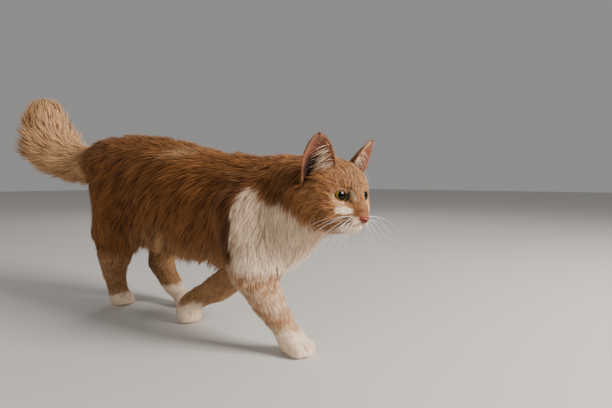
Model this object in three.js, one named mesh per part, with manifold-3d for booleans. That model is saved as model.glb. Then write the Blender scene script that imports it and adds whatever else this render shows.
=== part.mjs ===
import * as THREE from 'three';
import { mergeVertices } from 'three/addons/utils/BufferGeometryUtils.js';
import Module from 'manifold-3d';

// A half-longhaired cat at life size, in mid-walk with its head low and its tail curled up.
// +X is the way it walks, +Y its left and +Z up, in millimetres, with the floor at Z = 0.
// Every form is measured to the tips of the coat. The body is one field of distances, made from
// named forms that melt into each other. Each part is the stretch of it inside one cutting block.

const wasm = await Module();
wasm.setup();
const rad = THREE.MathUtils.degToRad;

// ---- Driving dimensions ----------------------------------------------------------------------
const GAP = 0.3;              // clear space between neighbouring parts
const FLOOR = 0;

// Trunk and neck: height of the back and belly, and half the width, at stations along the cat.
const TRUNK = [
  { x: -158, back: 250, belly: 204, half: 27 },
  { x: -122, back: 269, belly: 164, half: 47 },
  { x: -70, back: 274, belly: 124, half: 62 },
  { x: 0, back: 271, belly: 106, half: 60 },
  { x: 70, back: 261, belly: 100, half: 62 },
  { x: 130, back: 248, belly: 97, half: 62 },
  { x: 190, back: 237, belly: 95, half: 57 },
  { x: 240, back: 233, belly: 92, half: 51 },
  { x: 282, back: 234, belly: 100, half: 46 },
  { x: 315, back: 230, belly: 128, half: 43 },
  { x: 345, back: 224, belly: 148, half: 40 },
];
const RUMP_ROUNDING = 44;

// Head: its own frame starts midway between the pupils, x to the nose and y to the left ear.
const HEAD_AT = [372, 0, 187.5];
const HEAD_TURN = rad(-10);
const HEAD_TILT = rad(-2.4);
const EYE_AT = [-9.5, 16.6, -0.9];
const EYE_RADIUS = 10.8;
const NOSE_TIP = [21.8, 0, -25.5];
const SKULL = { at: [-34, 0, 5], half: [42, 38.5, 37.5] };
const CHEEK = { at: [-25, 19.5, -15], half: [24, 23.5, 24], melt: 14 };
const JAW = { at: [-16, 0, -22], half: [26, 26, 21], melt: 12 };
const PAD = { at: [3.5, 6.8, -25.5], half: [10.5, 9, 7.8], melt: 5 };
const CHIN = { at: [-1.5, 0, -34], half: [10, 9.5, 7.2], melt: 6 };
const BRIDGE = [
  { at: [-13, 0, 15], r: 14.5 },
  { at: [1.5, 0, -3], r: 7.6 },
  { at: [13, 0, -17], r: 8 },
];
const BRIDGE_MELT = 10;
const BROW = [{ at: [-11, 13, 15], r: 9 }, { at: [-20, 29, 11], r: 9 }];
const BROW_MELT = 8;
const SOCKET = { ahead: 12, outward: 1, half: [9, 12, 8.5], melt: 3 };
const NOSE = { length: 6.5, half: 7, flare: 0.3, height: 4.8 };

// Ears: a curled shell that stands on the skull.
const EAR_BASE = [-22, 32, 26];
const EAR_TIP = [-10, 44.5, 64];
const EAR_OPENING = { ear_right: [0.86, 0.5, -0.05], ear_left: [0.93, 0.37, -0.05] };
const EAR_ROOT = 0.35;        // length inside the coat of the head, as a share of what shows
const EAR_HALF_WIDTH = 18.5;
const EAR_THICKNESS = 2.6;

// Legs: joints from the trunk to the ankle or wrist, each with the thickness of leg and coat there.
const FORELEG_RIGHT = [
  { at: [240, -36, 168], r: 35 },
  { at: [256, -36, 98], r: 27 },
  { at: [270, -28, 62], r: 18 },
  { at: [295, -19, 26], r: 15 },
];
const FORELEG_LEFT = [
  { at: [222, 38, 160], r: 34 },
  { at: [184, 27, 86], r: 24 },
  { at: [142, 12, 52], r: 18 },
  { at: [99, -6, 28], r: 15 },
];
const HINDLEG_RIGHT = [
  { at: [-65, -33, 190], r: 37 },
  { at: [-32, -42, 135], r: 36 },
  { at: [-55, -32, 86], r: 24 },
  { at: [-70, -26, 58], r: 17 },
  { at: [-70, -20, 24], r: 15 },
];
const HINDLEG_LEFT = [
  { at: [-62, 34, 190], r: 42 },
  { at: [-8, 44, 138], r: 34 },
  { at: [-28, 42, 92], r: 23 },
  { at: [-42, 42, 64], r: 18 },
  { at: [-4, 41, 28], r: 16.5 },
];
const LEG_MELT = 16;

// Paws: middle of the sole, half the length of the pad, and how far the heel is lifted.
const PAW = { half: 16, length: 22, height: 24, melt: 3 };
const TOE = { forward: 13, apart: 8, curve: 2.6, up: 7.5, half: [10.2, 6, 8.8] };
const PAWS = {
  paw_fore_right: { at: [303, -12], turn: rad(0), scale: 1.04, lift: 0 },
  paw_fore_left: { at: [96, -9], turn: rad(-4), scale: 0.98, lift: 14 },
  paw_hind_right: { at: [-66, -16], turn: rad(-2), scale: 0.98, lift: 0 },
  paw_hind_left: { at: [24, 41], turn: rad(-4), scale: 0.98, lift: 8 },
};

// Tail: middle line from the root to the tip, with the thickness of the brush.
const TAIL = [
  { at: [-120, 0, 232], r: 26 },
  { at: [-170, -4, 230], r: 29 },
  { at: [-218, -12, 229], r: 33 },
  { at: [-262, -20, 247], r: 37 },
  { at: [-290, -26, 276], r: 39 },
  { at: [-290, -30, 310], r: 36 },
];
const TAIL_MELT = 22;

// Fineness of the faceted solids, and how far a facet may then stray from the form.
const CELL = { head: 5.2, nose: 2.6, neck: 11, trunk: 15, tail: 13, leg: 10, paw: 5.6 };
const STRAY = { head: 0.5, neck: 1.1, trunk: 1.6, tail: 1.3, leg: 1.15, paw: 0.6 };

// ---- Distance fields -------------------------------------------------------------------------
const clamp = (v, low, high) => Math.min(Math.max(v, low), high);

// Union and cut with a rounded seam of width k.
function melt(a, b, k) {
  const h = Math.max(k - Math.abs(a - b), 0) / k;
  return Math.min(a, b) - h * h * k * 0.25;
}
const carve = (a, b, k) => -melt(-a, b, k);

// A length of limb that tapers from one round end to the other.
function taper(p, from, to) {
  const [ax, ay, az] = from.at;
  const [bx, by, bz] = [to.at[0] - ax, to.at[1] - ay, to.at[2] - az];
  const along = (p[0] - ax) * bx + (p[1] - ay) * by + (p[2] - az) * bz;
  const h = clamp(along / (bx * bx + by * by + bz * bz), 0, 1);
  const off = Math.hypot(p[0] - ax - bx * h, p[1] - ay - by * h, p[2] - az - bz * h);
  return off - from.r - (to.r - from.r) * h;
}

function limb(p, joints, k) {
  let d = taper(p, joints[0], joints[1]);
  for (let i = 1; i < joints.length - 1; i += 1) {
    d = melt(d, taper(p, joints[i], joints[i + 1]), k);
  }
  return d;
}

// An egg with three half-axes, upright in its own frame.
function egg(p, at, half) {
  const [x, y, z] = [p[0] - at[0], p[1] - at[1], p[2] - at[2]];
  const q = Math.hypot(x / half[0], y / half[1], z / half[2]);
  const g = Math.hypot(x / half[0] ** 2, y / half[1] ** 2, z / half[2] ** 2);
  return g > 0 ? (q * (q - 1)) / g : -Math.min(...half);
}

// A value that runs smoothly through the stations, by cubic steps.
function station(x, key) {
  const last = TRUNK.length - 1;
  let i = 0;
  while (i < last - 1 && x > TRUNK[i + 1].x) {
    i += 1;
  }
  const t = clamp((x - TRUNK[i].x) / (TRUNK[i + 1].x - TRUNK[i].x), 0, 1);
  const before = TRUNK[Math.max(i - 1, 0)][key];
  const [a, b] = [TRUNK[i][key], TRUNK[i + 1][key]];
  const after = TRUNK[Math.min(i + 2, last)][key];
  const slow = 2 * before - 5 * a + 4 * b - after;
  const fast = 3 * (a - b) + after - before;
  return a + 0.5 * t * (b - before + t * (slow + t * fast));
}

// Trunk and neck: an upright oval at each station, closed off round at both ends.
function trunk(p) {
  const [back, belly] = [station(p[0], 'back'), station(p[0], 'belly')];
  const middle = (back + belly) / 2;
  const [y, z] = [p[1] / station(p[0], 'half'), (p[2] - middle) / (back - middle)];
  const q = Math.hypot(y, z);
  const r = Math.hypot(p[1], p[2] - middle);
  const side = q > 1e-6 ? r - r / q : middle - back;
  const end = Math.max(TRUNK[0].x - p[0], p[0] - TRUNK.at(-1).x);
  return -melt(-side, -end, RUMP_ROUNDING);
}

// From the cat's frame into the head's.
function inHead(p) {
  const [x, y, z] = p.map((v, i) => v - HEAD_AT[i]);
  const [c, s] = [Math.cos(HEAD_TURN), Math.sin(HEAD_TURN)];
  const side = y * c - x * s;
  const [ct, st] = [Math.cos(HEAD_TILT), Math.sin(HEAD_TILT)];
  return [x * c + y * s, side * ct + z * st, z * ct - side * st];
}

function head(p) {
  const [x, side, z] = inHead(p);
  const q = [x, Math.abs(side), z];
  let d = egg(q, SKULL.at, SKULL.half);
  for (const form of [CHEEK, JAW]) {
    d = melt(d, egg(q, form.at, form.half), form.melt);
  }
  d = melt(d, limb(q, BRIDGE, BRIDGE_MELT / 2), BRIDGE_MELT);
  for (const form of [PAD, CHIN]) {
    d = melt(d, egg(q, form.at, form.half), form.melt);
  }
  d = melt(d, limb(q, BROW, BROW_MELT), BROW_MELT);
  const [x0, y0, z0] = EYE_AT;
  const hollow = egg(q, [x0 + SOCKET.ahead, y0 + SOCKET.outward, z0], SOCKET.half);
  return carve(d, hollow, SOCKET.melt);
}

// A paw on its sole: a heel pad, a wrist that rises to the leg, and four round toes.
function paw(p, { at, turn, scale, lift }) {
  const [c, s] = [Math.cos(turn), Math.sin(turn)];
  const [x, y] = [p[0] - at[0], p[1] - at[1]];
  const q = [(x * c + y * s) / scale, (y * c - x * s) / scale, p[2] / scale];
  const top = PAW.height / 2;
  let d = egg(q, [-3, 0, top - 2 + lift * 0.4], [PAW.length - lift * 0.35, PAW.half, top + 1]);
  for (const row of [-1.5, -0.5, 0.5, 1.5]) {
    const forward = TOE.forward - row * row * TOE.curve;
    d = melt(d, egg(q, [forward, row * TOE.apart, TOE.up], TOE.half), PAW.melt);
  }
  return d * scale;
}

const LEGS = [
  { joints: FORELEG_RIGHT, foot: PAWS.paw_fore_right },
  { joints: FORELEG_LEFT, foot: PAWS.paw_fore_left },
  { joints: HINDLEG_RIGHT, foot: PAWS.paw_hind_right },
  { joints: HINDLEG_LEFT, foot: PAWS.paw_hind_left },
];

function body(p) {
  let d = melt(trunk(p), limb(p, TAIL, TAIL_MELT), TAIL_MELT);
  d = melt(d, head(p), 16);
  let legs = Infinity;
  for (const { joints, foot } of LEGS) {
    legs = Math.min(legs, melt(limb(p, joints, 12), paw(p, foot), 10));
  }
  return melt(d, legs, LEG_MELT);
}

// ---- From a field to a faceted solid ---------------------------------------------------------

// Surface nets: one point in each cell that the surface crosses, drawn onto the surface.
function meshed(field, low, high, cell) {
  const outside = (p) => Math.max(...p.map((v, i) => Math.max(low[i] - v, v - high[i])));
  const closed = (p) => Math.max(field(p), outside(p));
  const start = low.map((v) => v - cell * 1.4);
  const count = high.map((v, i) => Math.ceil((v + cell * 1.4 - start[i]) / cell) + 1);
  const place = (i, j, k) => [start[0] + i * cell, start[1] + j * cell, start[2] + k * cell];
  const index = (i, j, k) => i + count[0] * (j + count[1] * k);
  const value = new Float64Array(count[0] * count[1] * count[2]);
  for (let k = 0; k < count[2]; k += 1) {
    for (let j = 0; j < count[1]; j += 1) {
      for (let i = 0; i < count[0]; i += 1) {
        value[index(i, j, k)] = closed(place(i, j, k));
      }
    }
  }

  const corners = [0, 1, 2, 3, 4, 5, 6, 7].map((c) => [c & 1, (c >> 1) & 1, c >> 2]);
  const point = new Int32Array(value.length).fill(-1);
  const points = [];
  for (let k = 0; k < count[2] - 1; k += 1) {
    for (let j = 0; j < count[1] - 1; j += 1) {
      for (let i = 0; i < count[0] - 1; i += 1) {
        const v = corners.map(([a, b, c]) => value[index(i + a, j + b, k + c)]);
        const sum = [0, 0, 0];
        let crossings = 0;
        for (let a = 0; a < 8; a += 1) {
          for (const bit of [1, 2, 4]) {
            const b = a | bit;
            if (b !== a && v[a] < 0 !== v[b] < 0) {
              const t = v[a] / (v[a] - v[b]);
              corners[a].forEach((c, n) => { sum[n] += c + (corners[b][n] - c) * t; });
              crossings += 1;
            }
          }
        }
        if (crossings > 0) {
          const [x, y, z] = sum.map((s) => s / crossings);
          point[index(i, j, k)] = points.length;
          points.push(drawnOn(closed, place(i + x, j + y, k + z), cell));
        }
      }
    }
  }

  const faces = [];
  const step = [1, count[0], count[0] * count[1]];
  for (let k = 1; k < count[2] - 1; k += 1) {
    for (let j = 1; j < count[1] - 1; j += 1) {
      for (let i = 1; i < count[0] - 1; i += 1) {
        const here = index(i, j, k);
        for (let axis = 0; axis < 3; axis += 1) {
          const [u, w] = [step[(axis + 1) % 3], step[(axis + 2) % 3]];
          const [inside, next] = [value[here] < 0, value[here + step[axis]] < 0];
          if (inside !== next) {
            const ring = [here, here - u, here - u - w, here - w].map((n) => point[n]);
            const [a, b, c, d] = inside ? ring : ring.reverse();
            faces.push(a, b, c, a, c, d);
          }
        }
      }
    }
  }
  const geometry = new THREE.BufferGeometry();
  geometry.setAttribute('position', new THREE.Float32BufferAttribute(points.flat(), 3));
  geometry.setIndex(faces);
  return geometry;
}

// Moves a point along the field's slope until it lies on the surface, by half a cell at most.
function drawnOn(field, start, cell) {
  let p = [...start];
  const e = cell * 0.05;
  for (let round = 0; round < 3; round += 1) {
    const d = field(p);
    const slope = p.map((v, i) => {
      const q = [...p];
      q[i] = v + e;
      return (field(q) - d) / e;
    });
    const size = slope.reduce((sum, s) => sum + s * s, 1e-9);
    p = p.map((v, i) => clamp(v - (d * slope[i]) / size, start[i] - cell / 2, start[i] + cell / 2));
  }
  return p;
}

// ---- Solids that can be cut ------------------------------------------------------------------
function solid(geometry) {
  const bare = geometry.clone();
  bare.deleteAttribute('normal');
  bare.deleteAttribute('uv');
  const merged = mergeVertices(bare, 1e-4);
  return new wasm.Manifold(new wasm.Mesh({
    numProp: 3,
    vertProperties: new Float32Array(merged.getAttribute('position').array),
    triVerts: new Uint32Array(merged.getIndex().array),
  }));
}

function geometryOf(manifold) {
  const mesh = manifold.getMesh();
  const geometry = new THREE.BufferGeometry();
  geometry.setAttribute('position', new THREE.BufferAttribute(mesh.vertProperties, 3));
  geometry.setIndex(new THREE.BufferAttribute(mesh.triVerts, 1));
  geometry.computeVertexNormals();
  return geometry;
}

// The space on the far side of every plane in a list, each moved back by the gap where it is grown.
const REACH = 1200;
function space(planes, grow = 0) {
  let region = solid(new THREE.BoxGeometry(REACH, REACH, REACH));
  for (const { through, toward } of planes) {
    const normal = new THREE.Vector3(...toward).normalize();
    const offset = normal.dot(new THREE.Vector3(...through)) - grow;
    region = region.trimByPlane(normal.toArray(), offset);
  }
  return region;
}

// ---- Where the body is parted ----------------------------------------------------------------
const CUTS = {
  head: [{ through: [324, 0, 182], toward: [0.966, 0, 0.26] }],
  neck: [{ through: [266, 0, 170], toward: [0.952, 0, 0.305] }],
  tail: [
    { through: [-146, 0, 230], toward: [-1, 0, 0.1] },
    { through: [-146, 0, 190], toward: [0, 0, 1] },
  ],
  foreleg_right: [
    { through: [214, 0, 0], toward: [1, 0, 0] },
    { through: [214, 20, 88], toward: [0, -0.603, -0.798] },
  ],
  foreleg_left: [
    { through: [214 - GAP, 0, 0], toward: [-1, 0, 0] },
    { through: [214, -20, 88], toward: [0, 0.603, -0.798] },
    { through: [120, 0, 88], toward: [0.81, 0, -0.587] },
  ],
  hindleg_right: [
    { through: [20, 8 - GAP, 0], toward: [0, -1, 0] },
    { through: [20, 8, 95], toward: [0, -0.83, -0.558] },
    { through: [20, 8, 95], toward: [-1, 0, 0] },
  ],
  hindleg_left: [
    { through: [46, 8, 0], toward: [0, 1, 0] },
    { through: [46, 8, 95], toward: [0, 0.83, -0.558] },
    { through: [46, 8, 95], toward: [-1, 0, 0] },
  ],
};
const TAIL_TIP_CUT = { through: [-262, -19, 241], toward: [-0.83, -0.16, 0.545] };
const ANKLE = {
  paw_fore_right: { through: [292, 0, 31], toward: [0.3, 0, -1] },
  paw_fore_left: { through: [101, 0, 32], toward: [0, 0, -1] },
  paw_hind_right: { through: [-74, 0, 34], toward: [0.2, 0, -1] },
  paw_hind_left: { through: [0, 0, 34], toward: [0.4, 0, -1] },
};

const cat = new THREE.Group();

function add(name, shape, colour, roughness = 0.9) {
  const material = new THREE.MeshStandardMaterial({ color: colour, roughness, metalness: 0 });
  const mesh = new THREE.Mesh(shape, material);
  mesh.name = name;
  cat.add(mesh);
}

const GINGER = 0xb5763c;
const PALE = 0xd9b184;
const WHITE = 0xe9e2d6;
const PINK = 0xb9665a;
const AMBER = 0x9c8b3a;
const EAR_BACK = 0x8a5430;

// ---- Neck and trunk --------------------------------------------------------------------------
const legSpaces = ['foreleg_right', 'foreleg_left', 'hindleg_right', 'hindleg_left'];
const floor = [{ through: [0, 0, FLOOR], toward: [0, 0, 1] }];

function stretch(low, high, kind) {
  const coarse = solid(meshed(body, low, high, CELL[kind])).simplify(STRAY[kind]);
  return coarse.intersect(space(floor));
}

function without(shape, names) {
  return names.reduce((rest, name) => rest.subtract(space(CUTS[name], GAP)), shape);
}

const trunkSolid = without(stretch([-200, -90, 60], [320, 90, 300], 'trunk'),
  ['neck', 'tail', ...legSpaces]);
add('trunk', geometryOf(trunkSolid), GINGER);

const neckSolid = stretch([225, -80, 70], [370, 80, 260], 'neck')
  .intersect(space(CUTS.neck));
add('neck', geometryOf(without(neckSolid, ['head', ...legSpaces])), PALE);

// ---- Tail, in two lengths --------------------------------------------------------------------
const tailSolid = stretch([-370, -90, 165], [-125, 60, 370], 'tail')
  .intersect(space(CUTS.tail));
add('tail_root', geometryOf(tailSolid.subtract(space([TAIL_TIP_CUT], GAP))), GINGER);
add('tail_tip', geometryOf(tailSolid.intersect(space([TAIL_TIP_CUT]))), PALE);

// ---- Legs and paws ---------------------------------------------------------------------------
const REACHES = {
  foreleg_right: [[190, -90, 0], [350, 40, 190]],
  foreleg_left: [[50, -40, 0], [240, 90, 190]],
  hindleg_right: [[-170, -95, 0], [45, 30, 240]],
  hindleg_left: [[-170, -10, 0], [70, 95, 240]],
};
for (const [leg, [low, high]] of Object.entries(REACHES)) {
  const foot = leg.replace('foreleg', 'paw_fore').replace('hindleg', 'paw_hind');
  const colour = leg === 'foreleg_right' ? PALE : GINGER;
  const upper = stretch(low, high, 'leg').intersect(space(CUTS[leg]));
  add(leg, geometryOf(upper.subtract(space([ANKLE[foot]], GAP))), colour);
  const [x, y] = PAWS[foot].at;
  const sole = stretch([x - 45, y - 35, 0], [x + 50, y + 35, 55], 'paw');
  add(foot, geometryOf(sole.intersect(space([...CUTS[leg], ANKLE[foot]]))), WHITE);
}

// ---- Head, with its eyes, nose and ears ------------------------------------------------------
const HEAD_LOW = [290, -75, 120];
const HEAD_HIGH = [415, 75, 250];
const faceSolid = stretch(HEAD_LOW, HEAD_HIGH, 'head').intersect(space(CUTS.head));
const faceGrown = solid(meshed((p) => body(p) - 2 * GAP, HEAD_LOW, HEAD_HIGH, CELL.head));

const facing = new THREE.Matrix4().makeRotationZ(HEAD_TURN)
  .multiply(new THREE.Matrix4().makeRotationX(HEAD_TILT))
  .setPosition(...HEAD_AT);

function eyeball(side, radius) {
  const ball = new THREE.SphereGeometry(radius, 12, 9);
  ball.rotateZ(-Math.PI / 2);
  ball.translate(EYE_AT[0], side * EYE_AT[1], EYE_AT[2]);
  return ball.applyMatrix4(facing);
}

let skull = faceSolid;
for (const [side, name] of [[-1, 'eye_right'], [1, 'eye_left']]) {
  skull = skull.subtract(solid(eyeball(side, EYE_RADIUS + GAP)));
  add(name, eyeball(side, EYE_RADIUS), AMBER, 0.1);
}
add('head', geometryOf(skull), GINGER);

const leather = (p) => {
  const [x, y, z] = inHead(p);
  const [tipX, , tipZ] = NOSE_TIP;
  const half = NOSE.half + NOSE.flare * (z - tipZ);
  return egg([x, y, z], [tipX - NOSE.length, 0, tipZ], [NOSE.length, half, NOSE.height]);
};
const noseSolid = solid(meshed(leather, [370, -15, 145], [400, 12, 185], CELL.nose));
add('nose', geometryOf(noseSolid.subtract(faceGrown)), PINK, 0.5);

// The shell of an ear: curled across, narrowing to its tip, and thin at its rim.
function earShell(side, facingWay) {
  const [across, up] = [8, 7];
  const base = new THREE.Vector3(...EAR_BASE);
  const tip = new THREE.Vector3(...EAR_TIP);
  const axis = tip.clone().sub(base);
  const length = axis.length();
  axis.normalize();
  const opening = new THREE.Vector3(...facingWay);
  opening.addScaledVector(axis, -opening.dot(axis)).normalize();
  const breadth = new THREE.Vector3().crossVectors(opening, axis);
  const points = [];
  for (const layer of [0, 1]) {
    for (let j = 0; j <= up; j += 1) {
      const v = (j / up) * (1 + EAR_ROOT) - EAR_ROOT;
      const half = EAR_HALF_WIDTH * (1 - Math.max(v, 0) ** 2.3) ** 0.8 + 1;
      const curl = rad(70 - 32 * v);
      const radius = half / Math.sin(curl);
      for (let i = 0; i <= across; i += 1) {
        const angle = curl * ((2 * i) / across - 1);
        const rim = Math.sqrt(Math.max(1 - ((2 * i) / across - 1) ** 4, 0)) * (1 - 0.4 * v);
        const depth = radius - layer * EAR_THICKNESS * (0.35 + 0.65 * rim);
        const point = base.clone().addScaledVector(axis, length * v);
        point.addScaledVector(breadth, depth * Math.sin(angle));
        point.addScaledVector(opening, radius * Math.cos(curl) - depth * Math.cos(angle));
        points.push(point.x, point.y * side, point.z);
      }
    }
  }
  const row = across + 1;
  const sheet = row * (up + 1);
  const faces = [];
  const quad = (a, b, c, d) => faces.push(...(side < 0 ? [a, b, c, a, c, d] : [a, c, b, a, d, c]));
  for (let j = 0; j < up; j += 1) {
    for (let i = 0; i < across; i += 1) {
      const a = i + row * j;
      quad(a, a + row, a + row + 1, a + 1);
      quad(sheet + a, sheet + a + 1, sheet + a + row + 1, sheet + a + row);
    }
  }
  for (let j = 0; j < up; j += 1) {
    const [a, b] = [row * j, across + row * j];
    quad(a, sheet + a, sheet + a + row, a + row);
    quad(b, b + row, sheet + b + row, sheet + b);
  }
  for (let i = 0; i < across; i += 1) {
    const [a, b] = [i, i + row * up];
    quad(a, a + 1, sheet + a + 1, sheet + a);
    quad(b, sheet + b, sheet + b + 1, b + 1);
  }
  const geometry = new THREE.BufferGeometry();
  geometry.setAttribute('position', new THREE.Float32BufferAttribute(points, 3));
  geometry.setIndex(faces);
  return geometry.applyMatrix4(facing);
}
for (const [side, name] of [[-1, 'ear_right'], [1, 'ear_left']]) {
  const shell = solid(earShell(side, EAR_OPENING[name]));
  add(name, geometryOf(shell.subtract(faceGrown)), EAR_BACK);
}

// The frame's origin is on the floor, under the middle of the cat.
const middle = new THREE.Box3().setFromObject(cat).getCenter(new THREE.Vector3());
cat.position.set(-middle.x, -middle.y, 0);

export default cat;
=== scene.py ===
import math

import bmesh
import bpy
import numpy as np
from mathutils import Matrix, Vector
from mathutils.bvhtree import BVHTree
from mathutils.kdtree import KDTree


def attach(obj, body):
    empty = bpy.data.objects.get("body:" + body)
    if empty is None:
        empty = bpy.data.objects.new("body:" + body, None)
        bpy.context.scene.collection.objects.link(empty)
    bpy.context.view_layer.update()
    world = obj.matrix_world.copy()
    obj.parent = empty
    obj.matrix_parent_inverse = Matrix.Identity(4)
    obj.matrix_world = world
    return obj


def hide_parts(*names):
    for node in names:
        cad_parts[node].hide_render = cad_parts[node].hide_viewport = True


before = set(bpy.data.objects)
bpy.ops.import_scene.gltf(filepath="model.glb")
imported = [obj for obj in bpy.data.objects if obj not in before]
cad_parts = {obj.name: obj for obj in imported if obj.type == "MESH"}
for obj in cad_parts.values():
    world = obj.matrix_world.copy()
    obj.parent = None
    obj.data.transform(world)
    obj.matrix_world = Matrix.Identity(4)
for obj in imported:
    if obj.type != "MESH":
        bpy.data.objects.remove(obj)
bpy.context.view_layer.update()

# ---- Hide ------------------------------------------------------------------------------------
# One hide over the whole cat, fused from its solids of flesh and drawn in by the coat's depth.
# It is finer over the face and the toes, where small forms are worked into it.
# Measures are in millimetres from a point on the floor below the middle of the back.
MIDDLE = np.array([29.53, 0.10, 0.0])

# the middles of the limbs and of the body, from end to end, each with its half width
LEGS = {
    "foreleg_right": [(240, -36, 168, 35), (256, -36, 98, 27), (270, -28, 62, 18), (295, -19, 26, 15)],
    "foreleg_left": [(222, 38, 160, 34), (184, 27, 86, 24), (142, 12, 52, 18), (99, -6, 28, 15)],
    "hindleg_right": [(-65, -33, 190, 37), (-32, -42, 135, 36), (-55, -32, 86, 24), (-70, -26, 58, 17),
                      (-70, -20, 24, 15)],
    "hindleg_left": [(-62, 34, 190, 42), (-8, 44, 138, 34), (-28, 42, 92, 23), (-42, 42, 64, 18),
                     (-4, 41, 28, 16)],
}
SPINE = [(-150, 0, 228, 28), (-110, 0, 214, 52), (-40, 0, 192, 74), (60, 0, 180, 78), (160, 0, 170, 72),
         (240, 0, 164, 66), (290, 0, 170, 56)]
NECK = [(265, 0, 172, 54), (325, 0, 182, 44)]
TAIL = [(-120, 0, 232, 26), (-170, -4, 230, 29), (-218, -12, 229, 33), (-262, -20, 247, 37),
        (-290, -26, 276, 39), (-290, -30, 310, 36)]
HEAD_AT = np.array([372.0, 0.0, 187.5])
HEAD_TURN = np.array(Matrix.Rotation(math.radians(-10), 3, "Z") @ Matrix.Rotation(math.radians(-2.4), 3, "X"))
TOES = {"foreleg_right": (316, -12), "foreleg_left": (109, -10), "hindleg_right": (-53, -16.5),
        "hindleg_left": (37, 40)}        # middle of each foot's row of toes
VOXEL = 0.0026                           # metres
SUNK = 0.72                              # how far the hide lies in, as a share of the coat's depth
HAUNCH_SUNK = 8                          # how much further in the haunches lie


def metres(points):
    return (np.asarray(points, float) - MIDDLE) * 0.001


def millimetres(points):
    return np.asarray(points, float) * 1000 + MIDDLE


def in_head(points):
    """Points in the head's own frame: ahead, to its left and up from midway between the eyes."""
    return (points - HEAD_AT) @ HEAD_TURN


def step(low, high, value):
    """A smooth rise from 0 at low to 1 at high, or a fall where low is the greater."""
    t = np.clip((value - low) / (high - low), 0, 1)
    return t * t * (3 - 2 * t)


def unit(vectors):
    return vectors / np.maximum(np.linalg.norm(vectors, axis=-1, keepdims=True), 1e-9)


def mesh_of(name, points, faces):
    """A smooth mesh from points in metres and faces that all have the same number of corners."""
    points = np.ascontiguousarray(points, np.float32)
    faces = np.ascontiguousarray(faces, np.int32)
    mesh = bpy.data.meshes.new(name)
    mesh.vertices.add(len(points))
    mesh.vertices.foreach_set("co", points.ravel())
    mesh.loops.add(faces.size)
    mesh.loops.foreach_set("vertex_index", faces.ravel())
    mesh.polygons.add(len(faces))
    mesh.polygons.foreach_set("loop_start", np.arange(0, faces.size, faces.shape[1], dtype=np.int32))
    mesh.polygons.foreach_set("use_smooth", np.ones(len(faces), bool))
    mesh.update(calc_edges=True)
    return mesh


def shown(name, mesh):
    thing = bpy.data.objects.new(name, mesh)
    bpy.context.scene.collection.objects.link(thing)
    return thing


def points_of(mesh):
    values = np.empty(len(mesh.vertices) * 3, np.float32)
    mesh.vertices.foreach_get("co", values)
    return values.reshape(-1, 3).astype(float)


def triangles_of(mesh):
    mesh.calc_loop_triangles()
    corners = np.empty(len(mesh.loop_triangles) * 3, np.int32)
    mesh.loop_triangles.foreach_get("vertices", corners)
    return corners.reshape(-1, 3)


def normals_of(points, faces):
    across = np.cross(points[faces[:, 1]] - points[faces[:, 0]], points[faces[:, 2]] - points[faces[:, 0]])
    total = np.zeros_like(points)
    for corner in range(3):
        for axis in range(3):
            total[:, axis] += np.bincount(faces[:, corner], across[:, axis], len(points))
    return unit(total)


def relaxed(points, faces, rounds, strength=0.6, keep=None):
    """Points drawn towards the mean of their neighbours, round by round."""
    ends = np.concatenate([faces[:, [0, 1]], faces[:, [1, 2]], faces[:, [2, 0]]])
    ends = np.unique(np.sort(ends, axis=1), axis=0)
    count = np.maximum(np.bincount(ends.ravel(), minlength=len(points)), 1)[:, None]
    pull = strength if keep is None else strength * keep[:, None]
    for _ in range(rounds):
        total = np.zeros_like(points)
        for axis in range(3):
            total[:, axis] = (np.bincount(ends[:, 0], points[ends[:, 1], axis], len(points))
                              + np.bincount(ends[:, 1], points[ends[:, 0], axis], len(points)))
        points = points + pull * (total / count - points)
    return points


def reach(points, chain):
    """Distance outside a chain of tapering lengths, the way along it from 0 to 1, and its course."""
    best = np.full(len(points), 1e9)
    along = np.zeros(len(points))
    course = np.zeros((len(points), 3))
    chain = np.asarray(chain, float)
    for i, (a, b) in enumerate(zip(chain[:-1], chain[1:])):
        line = b[:3] - a[:3]
        t = np.clip((points - a[:3]) @ line / (line @ line), 0, 1)
        gap = np.linalg.norm(points - a[:3] - t[:, None] * line, axis=1) - a[3] - t * (b[3] - a[3])
        near = gap < best
        best = np.where(near, gap, best)
        along = np.where(near, (i + t) / (len(chain) - 1), along)
        course[near] = unit(line)
    return best, along, course


def stroke(points, chain, width):
    """How near points are to a line, 1 on it and fading over a width, and the way along it from 0 to 1."""
    gap, along, _ = reach(points, chain)
    return np.exp(-(gap / width) ** 2), along


def regions(points):
    """How much each point belongs to the head, neck, trunk, tail and each leg, and where it is on them."""
    parts = {"trunk": reach(points, SPINE), "neck": reach(points, NECK), "tail": reach(points, TAIL)}
    for name, chain in LEGS.items():
        parts[name] = reach(points, chain)
    local = in_head(points)
    egg = np.linalg.norm((local - [-18, 0, -2]) / 42, axis=1) * 42 - 42
    parts["head"] = (egg, step(-60, 20, local[:, 0]), np.zeros_like(points))
    gaps = np.array([part[0] for part in parts.values()])
    share = np.exp(-(gaps - gaps.min(axis=0)) / 6)
    share /= share.sum(axis=0)
    return {name: (share[i], part[1], part[2]) for i, (name, part) in enumerate(parts.items())}


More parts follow.
